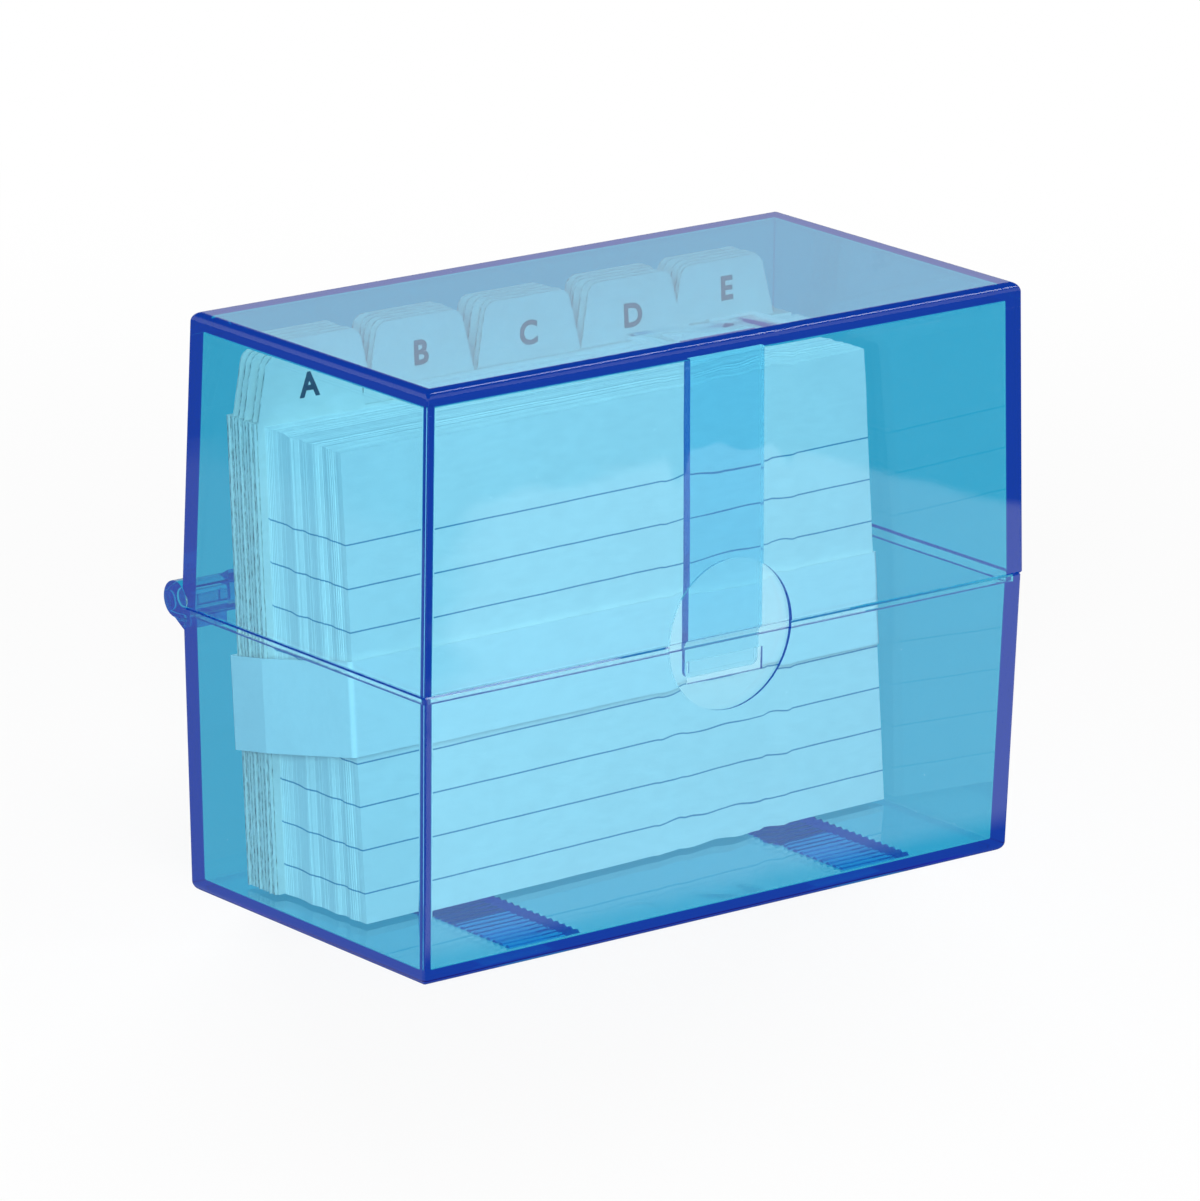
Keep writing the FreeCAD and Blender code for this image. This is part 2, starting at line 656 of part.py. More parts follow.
def make_band(doc):
    """Build the paper band as a thin loop that leans with the stack."""
    body = new_body(doc, "paper_band")
    half_card = f"({size('card_width')} / 2 + {size('band_side_gap')})"
    half_guide = f"({size('card_width')} / 2 + {size('guide_side_slip')} + {size('band_side_gap')})"
    cards_front = f"({size('cards_middle')} + {size('pack_drift')})"
    front_across = (f"({cards_front} - {half_card})", f"({cards_front} + {half_card})")
    back_across = (
        f"({size('guide_middle')} - {half_guide})", f"({size('cards_middle')} + {half_card})")
    tilt = size("band_tilt")
    guide_rise = f"({size('band_rise')} - {SEAT_Z})"
    back_plane = f"({GUIDES_BACK} + tan({size('guide_lean')}) * {guide_rise})"
    _, front_lean = fan_angles(size("pack_count"))

    def on_tilt(depth, lean):
        return f"({depth} / (1 + tan({lean}) * tan({tilt})) / cos({tilt}))"

    front = [
        on_tilt(plane_y(size("pack_count"), across, size("band_rise")), front_lean)
        for across in front_across
    ]
    back = on_tilt(back_plane, size("guide_lean"))
    guides = on_tilt(f"{back_plane} - {len(GUIDE_NAMES)} * {GUIDE_PITCH}", size("guide_lean"))
    gap = size("band_face_gap")
    corners = [
        (front_across[0], f"{front[0]} - {gap}"),
        (front_across[1], f"{front[1]} - {gap}"),
        (back_across[1], f"{back} + {gap}"),
        (back_across[0], f"{back} + {gap}"),
        (back_across[0], f"{guides} - {gap}"),
    ]
    sketch = outline(body, "BandOutline", "XY_Plane", size("band_rise"), corners, tilt=tilt)
    band = body.newObject("PartDesign::Pad", "BandBlock")
    band.Profile = sketch
    band.UseCustomVector = True
    band.AlongSketchNormal = False
    band.setExpression("Direction.x", "0")
    mid_lean = f"({size('guide_lean')} + {size('fan_lean')} / 2)"
    band.setExpression("Direction.y", f"sin({mid_lean})")
    band.setExpression("Direction.z", f"cos({mid_lean})")
    band.setExpression("Length", size("band_height"))
    body.Document.recompute()
    middle = band.Shape.BoundBox.Center.y

    def is_front_fold(edge):
        return is_upright(edge) and edge.BoundBox.Center.y < middle

    def is_back_fold(edge):
        return is_upright(edge) and edge.BoundBox.Center.y > middle

    front_folds = treat_edges(
        body, "BandFrontFolds", "Fillet", band, is_front_fold, "Radius", size("band_round"))
    rounded = treat_edges(
        body, "BandBackFolds", "Fillet", front_folds, is_back_fold, "Radius", size("band_fold"))
    body.Document.recompute()
    rims = []
    for number, face in enumerate(rounded.Shape.Faces, start=1):
        if abs(face.normalAt(0, 0).z) > abs(face.normalAt(0, 0).y):
            rims.append(f"Face{number}")
    hollow = body.newObject("PartDesign::Thickness", "BandHollow")
    hollow.Base = (rounded, rims)
    hollow.Reversed = True
    hollow.setExpression("Value", size("band_thickness"))
    return body


def check(doc, bodies):
    """Stop on any failed object or broken shape before anything is written."""
    for item in doc.Objects:
        if {"Invalid", "Error"} & set(item.State):
            raise RuntimeError(f"{item.Label} failed: {item.State}")
    for body in bodies:
        shape = body.Shape
        if shape.isNull() or not shape.isValid():
            raise RuntimeError(f"{body.Label} has no valid shape")


def main():
    """Build every piece, check it and write its file."""
    doc = FreeCAD.newDocument("index_card_box")
    make_sheet(doc)
    bodies = [make_tray(doc), make_lid(doc), make_band(doc)]
    bodies += [make_pack(doc, number) for number in range(len(PACK_SIDE_SHARES))]
    bodies += [make_guide(doc, number) for number in range(len(GUIDE_NAMES))]
    doc.recompute()
    check(doc, bodies)
    os.makedirs("parts", exist_ok=True)
    for body in bodies:
        body.Shape.exportStep(f"parts/{body.Label}.step")
        box = body.Shape.BoundBox
        print(f"{body.Label}: volume {body.Shape.Volume:.2f}, solids {len(body.Shape.Solids)}, "
              f"x {box.XMin:.2f} {box.XMax:.2f}, y {box.YMin:.2f} {box.YMax:.2f}, "
              f"z {box.ZMin:.2f} {box.ZMax:.2f}")


main()
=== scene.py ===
"""Index card box of translucent blue plastic: looks, camera and light.

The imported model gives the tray, the lid and the plain solids of the stack. The
packs of cards are built again here as single thin sheets, in the space that
their solids hold, and the index letters are printed on the guides' tabs. All
other solids keep their own meshes and get a finish only.
"""

import logging
import math
from dataclasses import dataclass, field
from enum import Enum

import bpy
import numpy as np
from mathutils import Matrix, Vector


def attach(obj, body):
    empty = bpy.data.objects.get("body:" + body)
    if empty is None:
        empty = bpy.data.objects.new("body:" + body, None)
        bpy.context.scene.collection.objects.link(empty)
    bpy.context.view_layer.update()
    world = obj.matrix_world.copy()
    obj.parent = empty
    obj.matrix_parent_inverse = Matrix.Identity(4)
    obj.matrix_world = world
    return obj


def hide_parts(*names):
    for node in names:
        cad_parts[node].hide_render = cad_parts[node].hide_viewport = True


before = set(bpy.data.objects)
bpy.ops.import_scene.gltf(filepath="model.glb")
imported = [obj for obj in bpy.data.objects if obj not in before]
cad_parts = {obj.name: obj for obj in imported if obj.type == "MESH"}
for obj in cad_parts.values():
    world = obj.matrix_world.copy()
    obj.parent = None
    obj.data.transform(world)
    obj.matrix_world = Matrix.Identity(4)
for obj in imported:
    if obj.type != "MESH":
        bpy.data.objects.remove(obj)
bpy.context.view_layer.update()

LOG = logging.getLogger("index_card_box")
MM = 0.001
TRAY_BODY = "tray"
CLEAR_MOULDINGS = ("base_tray", "lid")

# The map of a sheet is in tenths of a metre
SHEET_MAP = "Sheet"
MAP_PER_METRE = 10.0
MM_PER_MAP = 100.0

# Paper fibres: scales in waves per metre, and the range that gives the tone
STREAK_STRETCH = (0.35, 1.0, 1.0)
STREAK_SCALE = 900.0
STREAK_DETAIL = 4.0
STREAK_SHARE = 0.6
CLOUD_SCALE = 90.0
FIBRE_TONES = (0.3, 0.7)

# Ruled lines, in millimetres, and how softly a line fades at its edge
RULING = {"First": 4.8, "Pitch": 6.85, "Count": 9.0, "Width": 0.3}
LINE_SOFTNESS = 0.3
LINE_CONTRAST = 2.0

# Moulded surface: places in metres, scales in waves per metre
RIB_EDGE = (0.008, 0.013)
RIB_REACH = -0.02
TOP_FROM = 0.0895
WAVE_SCALE = 75.0
WAVE_DETAIL = 1.0
WAVE_ON_TOP = 0.06
WAVE_ON_WALLS = 0.46
WAVE_ON_RIB = 3.5
DUST_SCALE = 420.0
DUST_EDGE = (0.03, 0.07)
DUST_PATCH_SCALE = 160.0
DUST_PATCHES = (0.60, 0.64)

# The power of e past which the painted glow inside the plastic adds no more light
PAINTED_GLOW_LIMIT = 2.5

# Ray depths are whole numbers, so less than this means none yet
FIRST_DEPTH = 0.5

Tone = tuple[float, float, float]
Socket = bpy.types.NodeSocket


class Layer(Enum):
    """Kinds of the pieces that are built here."""

    CARD = "card_stock"
    GUIDE = "guide_board"


# Node helpers


def new_group(
    name: str, inputs: dict[str, float], outputs: list[str]
) -> bpy.types.NodeTree:
    """Start a shader node group with plain number sockets.

    Args:
        name: The group's name.
        inputs: Each input's name and its usual value.
        outputs: The names of the outputs, all numbers.

    Returns:
        The empty group with its two end nodes, named "in" and "out".
    """
    group = bpy.data.node_groups.new(name, "ShaderNodeTree")
    kind = "NodeSocketFloat"
    for label, usual in inputs.items():
        socket = group.interface.new_socket(label, in_out="INPUT", socket_type=kind)
        socket.default_value = usual
    for label in outputs:
        group.interface.new_socket(label, in_out="OUTPUT", socket_type=kind)
    group.nodes.new("NodeGroupInput").name = "in"
    group.nodes.new("NodeGroupOutput").name = "out"
    return group


class Wiring:
    """Short calls to add and join nodes of one tree."""

    def __init__(self, tree: bpy.types.NodeTree) -> None:
        """Keep the tree to work on.

        Args:
            tree: A material's, a world's or a group's nodes.
        """
        self.tree = tree

    def node(self, kind: str, **settings: object) -> bpy.types.Node:
        """Add a node.

        Args:
            kind: The node's type name without the "ShaderNode" prefix.
            settings: Properties to set on it.

        Returns:
            The new node.
        """
        made = self.tree.nodes.new("ShaderNode" + kind)
        for label, setting in settings.items():
            setattr(made, label, setting)
        return made

    def join(self, source: Socket, target: Socket) -> None:
        """Link an output to an input.

        Args:
            source: The output.
            target: The input.
        """
        self.tree.links.new(source, target)

    def math(self, operation: str, *values: object, clamp: bool = False) -> Socket:
        """Add a Math node whose inputs are sockets or plain numbers.

        Args:
            operation: The node's operation.
            values: Up to three sockets or numbers.
            clamp: Whether the result is kept between 0 and 1.

        Returns:
            The node's output.
        """
        made = self.node("Math", operation=operation, use_clamp=clamp)
        for slot, value in zip(made.inputs, values):
            if isinstance(value, Socket):
                self.join(value, slot)
            else:
                slot.default_value = value
        return made.outputs[0]

    def ramp(self, value: Socket, low: float, high: float) -> Socket:
        """Map a value smoothly from low..high to 0..1.

        Args:
            value: The value to map.
            low: Where the result leaves 0.
            high: Where the result reaches 1.

        Returns:
            The mapped value.
        """
        made = self.node("MapRange", interpolation_type="SMOOTHSTEP")
        self.join(value, made.inputs["Value"])
        made.inputs["From Min"].default_value = low
        made.inputs["From Max"].default_value = high
        return made.outputs["Result"]

    def mix(self, share: Socket, low: object, high: object) -> Socket:
        """Mix two colours, each a socket or three numbers.

        Args:
            share: How much of the second colour is taken.
            low: The colour at a share of 0.
            high: The colour at a share of 1.

        Returns:
            The mixed colour.
        """
        made = self.node("Mix", data_type="RGBA")
        self.join(share, made.inputs["Factor"])
        for label, value in (("A", low), ("B", high)):
            slot = [s for s in made.inputs if s.name == label and s.type == "RGBA"][0]
            if isinstance(value, Socket):
                self.join(value, slot)
            else:
                slot.default_value = (*value, 1.0)
        return [s for s in made.outputs if s.type == "RGBA"][0]

    def split(self, vector: Socket) -> bpy.types.NodeOutputs:
        """Take a vector apart.

        Args:
            vector: The vector.

        Returns:
            The outputs X, Y and Z.
        """
        made = self.node("SeparateXYZ")
        self.join(vector, made.inputs[0])
        return made.outputs

    def stretched(self, place: Socket, scale: Tone) -> Socket:
        """Scale a place along the axes, to draw a pattern out.

        Args:
            place: The place.
            scale: The scale along each axis.

        Returns:
            The scaled place.
        """
        made = self.node("Mapping")
        self.join(place, made.inputs["Vector"])
        made.inputs["Scale"].default_value = scale
        return made.outputs[0]

    def noise(
        self, place: Socket, scale: float, detail: float = 2.0, rough: float = 0.5
    ) -> Socket:
        """Take noise at a place.

        Args:
            place: The place.
            scale: Waves per metre.
            detail: How many finer layers are added.
            rough: How strong the finer layers are.

        Returns:
            The noise, from 0 to 1.
        """
        made = self.node("TexNoise")
        self.join(place, made.inputs["Vector"])
        made.inputs["Scale"].default_value = scale
        made.inputs["Detail"].default_value = detail
        made.inputs["Roughness"].default_value = rough
        return made.outputs["Fac"]

    def bump(self, height: Socket, metres: float, shader: bpy.types.Node) -> None:
        """Tilt a shader's normal by a height over the surface.

        Args:
            height: The height, from 0 to 1.
            metres: What a height of 1 stands for.
            shader: The shader that gets the normal.
        """
        made = self.node("Bump")
        made.inputs["Strength"].default_value = 1.0
        made.inputs["Distance"].default_value = metres
        self.join(height, made.inputs["Height"])
        self.join(made.outputs["Normal"], shader.inputs["Normal"])


def new_material(name: str) -> tuple[bpy.types.Material, Wiring, bpy.types.Node]:
    """Start a material.

    Args:
        name: The material's name.

    Returns:
        The material, the wiring of its nodes and its Principled shader.
    """
    made = bpy.data.materials.new(name)
    made.use_nodes = True
    return made, Wiring(made.node_tree), made.node_tree.nodes["Principled BSDF"]


class SharedEffects:
    """The finishes' node groups, each built once."""

    def __init__(self) -> None:
        """Build the groups."""
        self.fibres = self.build_fibres()
        self.ruling = self.build_ruling()
        self.surface = self.build_surface()
        # The painted glow inside the plastic, in place of scattered light
        self.painted_glow = self.build_painted_glow()

    @staticmethod
    def build_fibres() -> bpy.types.NodeTree:
        """Paper fibres: short streaks and soft clouds.

        Returns:
            A group with the outputs Tone and Height, both from 0 to 1.
        """
        group = new_group("PaperFibres", {}, ["Tone", "Height"])
        wire = Wiring(group)
        place = wire.node("TexCoord").outputs["Object"]
        drawn_out = wire.stretched(place, STREAK_STRETCH)
        streak = wire.noise(drawn_out, STREAK_SCALE, STREAK_DETAIL)
        cloud = wire.noise(place, CLOUD_SCALE)
        cloud_part = wire.math("MULTIPLY", cloud, 1.0 - STREAK_SHARE)
        both = wire.math("MULTIPLY_ADD", streak, STREAK_SHARE, cloud_part)
        ends = group.nodes["out"].inputs
        wire.join(wire.ramp(both, *FIBRE_TONES), ends["Tone"])
        wire.join(streak, ends["Height"])
        return group

    @staticmethod
    def build_ruling() -> bpy.types.NodeTree:
        """Ruled lines at even heights of the sheet's own map.

        Returns:
            A group with the output Line, 1 on a line and 0 between lines.
        """
        group = new_group("RuledLines", RULING, ["Line"])
        wire = Wiring(group)
        entry = group.nodes["in"].outputs
        flat = wire.split(wire.node("UVMap", uv_map=SHEET_MAP).outputs["UV"])
        height = wire.math("MULTIPLY", flat["Y"], MM_PER_MAP)
        above_first = wire.math("SUBTRACT", height, entry["First"])
        steps = wire.math("DIVIDE", above_first, entry["Pitch"])
        nearest = wire.math("ROUND", steps)
        off = wire.math("ABSOLUTE", wire.math("SUBTRACT", steps, nearest))
        away = wire.math("MULTIPLY", off, entry["Pitch"])
        half = wire.math("MULTIPLY", entry["Width"], 0.5)
        fade = wire.math(
            "SMOOTH_MIN", wire.math("DIVIDE", away, half), 1.0, LINE_SOFTNESS
        )
        on_line = wire.math("SUBTRACT", 1.0, fade, clamp=True)
        enough = wire.math("GREATER_THAN", nearest, -0.5)
        last = wire.math("SUBTRACT", entry["Count"], 0.5)
        counted = wire.math("MULTIPLY", enough, wire.math("LESS_THAN", nearest, last))
        drawn = wire.math("MULTIPLY", on_line, LINE_CONTRAST, clamp=True)
        line = wire.math("MULTIPLY", drawn, counted)
        wire.join(line, group.nodes["out"].inputs["Line"])
        return group

    @staticmethod
    def build_surface() -> bpy.types.NodeTree:
        """Slow waves of moulded walls, stronger at the rib, and dust on them.

        Returns:
            A group with the outputs Height and Dust, Dust from 0 to 1.
        """
        group = new_group("WavesAndDust", {"Dust Share": 0.5}, ["Height", "Dust"])
        wire = Wiring(group)
        ends = group.nodes["out"].inputs
        place = wire.node("TexCoord").outputs["Object"]
        at = wire.split(place)
        aside = wire.math("ABSOLUTE", at["X"])
        rib = wire.math("SUBTRACT", 1.0, wire.ramp(aside, *RIB_EDGE))
        rib = wire.math("MULTIPLY", rib, wire.math("LESS_THAN", at["Y"], RIB_REACH))
        wave = wire.noise(place, WAVE_SCALE, WAVE_DETAIL)
        below_top = wire.math("LESS_THAN", at["Z"], TOP_FROM)
        usual = wire.math(
            "MULTIPLY_ADD", below_top, WAVE_ON_WALLS - WAVE_ON_TOP, WAVE_ON_TOP
        )
        strength = wire.math("MULTIPLY_ADD", rib, WAVE_ON_RIB, usual)
        wire.join(wire.math("MULTIPLY", wave, strength), ends["Height"])
        grains = wire.node("TexVoronoi", feature="F1")
        wire.join(place, grains.inputs["Vector"])
        grains.inputs["Scale"].default_value = DUST_SCALE
        off_grain = wire.ramp(grains.outputs["Distance"], *DUST_EDGE)
        spot = wire.math("SUBTRACT", 1.0, off_grain)
        chosen = wire.ramp(wire.noise(place, DUST_PATCH_SCALE), *DUST_PATCHES)
        share = group.nodes["in"].outputs["Dust Share"]
        dust = wire.math("MULTIPLY", wire.math("MULTIPLY", spot, chosen), share)
        wire.join(dust, ends["Dust"])
        return group

    @staticmethod
    def build_painted_glow() -> bpy.types.NodeTree:
        """Painted glow that stands in for light scattered along a way inside the
        plastic.

        What a way of some length adds to one colour is the glow's own brightness
        times e to the power of absorption times length, less one, because the
        absorption then takes its share of it along the same way.

        Returns:
            A group with the output Light for one colour.
        """
        group = new_group(
            "PaintedInnerGlow", {"Brightness": 0.1, "Absorbed": 17.0, "Length": 0.0}, ["Light"]
        )
        wire = Wiring(group)
        entry = group.nodes["in"].outputs
        absorbed = wire.math("MULTIPLY", entry["Absorbed"], entry["Length"])
        power = wire.math("MINIMUM", absorbed, PAINTED_GLOW_LIMIT)
        gained = wire.math("SUBTRACT", wire.math("EXPONENT", power), 1.0)
        light = wire.math("MULTIPLY", gained, entry["Brightness"])
        wire.join(light, group.nodes["out"].inputs["Light"])
        return group


# Finishes


@dataclass(frozen=True)
class BluePlastic:
    """Clear blue moulding plastic, tinted through its thickness, with a painted glow
    inside.
    """

    refraction: float = 1.59
    roughness: float = 0.012
    absorbed_per_metre: Tone = (500.0, 130.0, 68.0)
    # Painted glow, by colour: an emission from inside the plastic in place of scattered
    # light
    painted_glow: Tone = (0.0, 0.04, 0.37)
    lamp_share: float = 0.94
    wave_height: float = 0.00007
    dust_share: float = 0.35

    def volume(self, wire: Wiring) -> Socket:
        """Absorb light along each way through the plastic.

        Args:
            wire: The material's wiring.

        Returns:
            The absorbing volume.
        """
        inside = wire.node("VolumeAbsorption")
        density = max(self.absorbed_per_metre)
        passed = [1.0 - share / density for share in self.absorbed_per_metre]
        inside.inputs["Density"].default_value = density
        inside.inputs["Color"].default_value = (*passed, 1.0)
        return inside.outputs[0]

    def painted_inner_glow(self, wire: Wiring, effects: SharedEffects) -> Socket:
        """Colour the painted glow that stands in for scattered light, met where a ray
        leaves the plastic.

        Args:
            wire: The material's wiring.
            effects: The shared node groups.

        Returns:
            The colour.
        """
        length = wire.node("LightPath").outputs["Ray Length"]
        from_inside = wire.node("NewGeometry").outputs["Backfacing"]
        light = wire.node("CombineColor")
        for label, absorbed, bright in zip(
            ("Red", "Green", "Blue"), self.absorbed_per_metre, self.painted_glow
        ):
            painted_glow = wire.node("Group", node_tree=effects.painted_glow)
            painted_glow.inputs["Brightness"].default_value = bright
            painted_glow.inputs["Absorbed"].default_value = absorbed
            wire.join(length, painted_glow.inputs["Length"])
            seen = wire.math("MULTIPLY", painted_glow.outputs["Light"], from_inside)
            wire.join(seen, light.inputs[label])
        return light.outputs[0]

    def open_to_lamps(self, wire: Wiring, shader: bpy.types.Node) -> Socket:
        """Let the rays that test for shade pass straight through.

        Args:
            wire: The material's wiring.
            shader: The surface for all other rays.

        Returns:
            The whole surface.
        """
        clear = wire.node("BsdfTransparent")
        clear.inputs["Color"].default_value = (*(self.lamp_share,) * 3, 1.0)
        shown = wire.node("MixShader")
        wire.join(wire.node("LightPath").outputs["Is Shadow Ray"], shown.inputs[0])
        wire.join(shader.outputs[0], shown.inputs[1])
        wire.join(clear.outputs[0], shown.inputs[2])
        return shown.outputs[0]

    def build(self, effects: SharedEffects) -> bpy.types.Material:
        """Make the material.

        Args:
            effects: The shared node groups.

        Returns:
            A material with a glass surface, an absorbing inside and a painted glow.
        """
        made, wire, shader = new_material("blue_plastic_clear")
        ends = made.node_tree.nodes["Material Output"].inputs
        shader.inputs["Base Color"].default_value = (1.0, 1.0, 1.0, 1.0)
        shader.inputs["Transmission Weight"].default_value = 1.0
        shader.inputs["IOR"].default_value = self.refraction
        surface = wire.node("Group", node_tree=effects.surface)
        surface.inputs["Dust Share"].default_value = self.dust_share
        wire.bump(surface.outputs["Height"], self.wave_height, shader)
        rough = wire.math("ADD", surface.outputs["Dust"], self.roughness)
        wire.join(rough, shader.inputs["Roughness"])
        wire.join(self.volume(wire), ends["Volume"])
        # Painted glow: emission from inside the plastic in place of scattered light
        wire.join(self.painted_inner_glow(wire, effects), shader.inputs["Emission Color"])
        shader.inputs["Emission Strength"].default_value = 1.0
        made.cycles.emission_sampling = "NONE"
        wire.join(self.open_to_lamps(wire, shader), ends["Surface"])
        return made


@dataclass(frozen=True)
class PaperStock:
    """A matte sheet with fibres, and ruled lines or grained edges if it has them."""

    name: str
    tone: Tone
    shade: Tone
    roughness: float = 0.75
    gloss: float = 0.3
    fibre_height: float = 0.00001
    line_tone: Tone | None = None
    edge_tones: tuple[Tone, ...] = ()
    edge_scale: float = 2600.0
    edge_detail: float = 3.0
    edge_rough: float = 0.7
    edge_stretch: Tone = (1.0, 1.6, 0.3)
    edge_grain: tuple[float, float] = (0.34, 0.6)
    edge_from: tuple[float, float] = (0.5, 0.8)

    def with_edges(self, wire: Wiring, colour: Socket) -> Socket:
        """Grain the cut edges, which are the faces that don't look along the depth.

        Args:
            wire: The material's wiring.
            colour: The faces' colour.

        Returns:
            The colour with the edges' own.
        """
        normal = wire.split(wire.node("TexCoord").outputs["Normal"])
        facing = wire.ramp(wire.math("ABSOLUTE", normal["Y"]), *self.edge_from)
        cut = wire.math("SUBTRACT", 1.0, facing)
        place = wire.node("TexCoord").outputs["Object"]
        layers = wire.noise(
            wire.stretched(place, self.edge_stretch),
            self.edge_scale, self.edge_detail, self.edge_rough,
        )
        grain = wire.ramp(layers, *self.edge_grain)
        return wire.mix(cut, colour, wire.mix(grain, *self.edge_tones))

    def build(self, effects: SharedEffects) -> bpy.types.Material:
        """Make the material.

        Args:
            effects: The shared node groups.

        Returns:
            The material. Ruled lines need sheets with the map "Sheet".
        """
        made, wire, shader = new_material(self.name)
        shader.inputs["Roughness"].default_value = self.roughness
        shader.inputs["Specular IOR Level"].default_value = self.gloss
        fibres = wire.node("Group", node_tree=effects.fibres)
        colour = wire.mix(fibres.outputs["Tone"], self.shade, self.tone)
        if self.line_tone is not None:
            lines = wire.node("Group", node_tree=effects.ruling)
            colour = wire.mix(lines.outputs["Line"], colour, self.line_tone)
        if self.edge_tones:
            colour = self.with_edges(wire, colour)
        wire.join(colour, shader.inputs["Base Color"])
        wire.bump(fibres.outputs["Height"], self.fibre_height, shader)
        return made


@dataclass(frozen=True)
class PrintingInk:
    """Matte dark ink of the index letters, a little uneven along the fibres."""

    tone: Tone = (0.018, 0.018, 0.022)
    paler: float = 3.0
    roughness: float = 0.6

    def build(self, effects: SharedEffects) -> bpy.types.Material:
        """Make the material.

        Args:
            effects: The shared node groups.

        Returns:
            The ink's material.
        """
        made, wire, shader = new_material("letter_ink")
        shader.inputs["Roughness"].default_value = self.roughness
        fibres = wire.node("Group", node_tree=effects.fibres)
        pale = tuple(self.paler * part for part in self.tone)
        colour = wire.mix(fibres.outputs["Tone"], self.tone, pale)
        wire.join(colour, shader.inputs["Base Color"])
        return made


RULED_CARD = PaperStock(
    "ruled_card", (0.88, 0.88, 0.87), (0.82, 0.82, 0.81), line_tone=(0.09, 0.26, 0.42)
)
GREY_BOARD = PaperStock(
    "guide_board_grey", (0.74, 0.73, 0.71), (0.68, 0.67, 0.64),
    edge_tones=((0.20, 0.17, 0.13), (0.80, 0.78, 0.74)),
)
WHITE_BAND = PaperStock("band_paper_white", (0.9, 0.9, 0.9), (0.85, 0.85, 0.85))


# Meshes


def mesh_points(mesh: bpy.types.Mesh) -> np.ndarray:
    """Read a mesh's points.

    Args:
        mesh: The mesh.

    Returns:
        The points, in metres, one to a row.
    """
    points = np.zeros(len(mesh.vertices) * 3, np.float32)
    mesh.vertices.foreach_get("co", points)
    return points.reshape(-1, 3).astype(float)


def node_points(name: str) -> np.ndarray:
    """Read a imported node's points.

    Args:
        name: The node's name.

    Returns:
        The points, in metres, one to a row.
    """
    return mesh_points(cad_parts[name].data)


def new_object(name: str, data: bpy.types.ID) -> bpy.types.Object:
    """Make an object and link it to the scene.

    Args:
        name: The object's name.
        data: Its mesh, curve, lamp or camera.

    Returns:
        The new object, at the origin.
    """
    made = bpy.data.objects.new(name, data)
    bpy.context.scene.collection.objects.link(made)
    return made


def dress(name: str, material: bpy.types.Material) -> None:
    """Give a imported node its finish.

    Args:
        name: The node's name.
        material: The finish.
    """
    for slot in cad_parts[name].material_slots:
        slot.material = material
    LOG.info("dressed %s", name)


def closed_sheet(front: np.ndarray, back: np.ndarray) -> tuple[np.ndarray, np.ndarray]:
    """Join two grids of points, a front and a back face, round their border.

    Both grids have the shape (columns, rows, 3), with columns from left to right
    as seen from the front and rows upwards. The border is closed with one strip
    of faces from each front border point to the back one beside it.

    Args:
        front: The front face's grid.
        back: The back face's grid.

    Returns:
        The points as one array, and the faces as an array of four indices each.
    """
    columns, rows = front.shape[:2]
    shift = columns * rows
    index = np.arange(shift).reshape(columns, rows)
    a, b = index[:-1, :-1].ravel(), index[1:, :-1].ravel()
    c, d = index[1:, 1:].ravel(), index[:-1, 1:].ravel()
    faces = [np.stack([a, b, c, d], 1), np.stack([d, c, b, a], 1) + shift]
    ring = np.concatenate(
        [index[:, 0], index[-1, 1:], index[-2::-1, -1], index[0, -2:0:-1]]
    )
    ahead = np.roll(ring, -1)
    faces.append(np.stack([ahead, ring, ring + shift, ahead + shift], 1))
    points = np.concatenate([front.reshape(-1, 3), back.reshape(-1, 3)])
    return points, np.concatenate(faces)


@dataclass
class SheetPile:
    """Collects closed sheets and makes them one mesh with the map "Sheet"."""

    points: list[np.ndarray] = field(default_factory=list)
    faces: list[np.ndarray] = field(default_factory=list)
    maps: list[np.ndarray] = field(default_factory=list)
    count: int = 0

    def add(self, front: np.ndarray, back: np.ndarray, flat: np.ndarray) -> None:
        """Add one sheet.

        Args:
            front: The front face's grid of points, in metres.
            back: The back face's grid.
            flat: Each grid point's place on the flat sheet, in the map's units.
        """
        points, faces = closed_sheet(front, back)
        self.points.append(points)
        self.faces.append(faces + self.count)
        self.maps.append(np.concatenate([flat.reshape(-1, 2)] * 2))
        self.count += len(points)

    def build(
        self, name: str, material: bpy.types.Material, layer: Layer
    ) -> bpy.types.Object:
        """Make the object, riding on the tray.

        Args:
            name: The piece's name.
            material: Its finish.
            layer: Not used.

        Returns:
            The new object.
        """
        points = np.concatenate(self.points).astype(np.float32)
        faces = np.concatenate(self.faces).astype(np.int32)
        flat = np.concatenate(self.maps)[faces.ravel()].astype(np.float32)
        starts = np.arange(0, faces.size, faces.shape[1], dtype=np.int32)
        mesh = bpy.data.meshes.new(name)
        mesh.vertices.add(len(points))
        mesh.vertices.foreach_set("co", points.ravel())
        mesh.loops.add(faces.size)
        mesh.loops.foreach_set("vertex_index", faces.ravel())
        mesh.polygons.add(len(faces))
        mesh.polygons.foreach_set("loop_start", starts)
        layer_map = mesh.uv_layers.new(name=SHEET_MAP)
        layer_map.uv.foreach_set("vector", flat.ravel())
        mesh.shade_flat()
        mesh.update()
        mesh.validate()
        mesh.materials.append(material)
        piece = new_object(name, mesh)
        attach(piece, TRAY_BODY)
        return piece


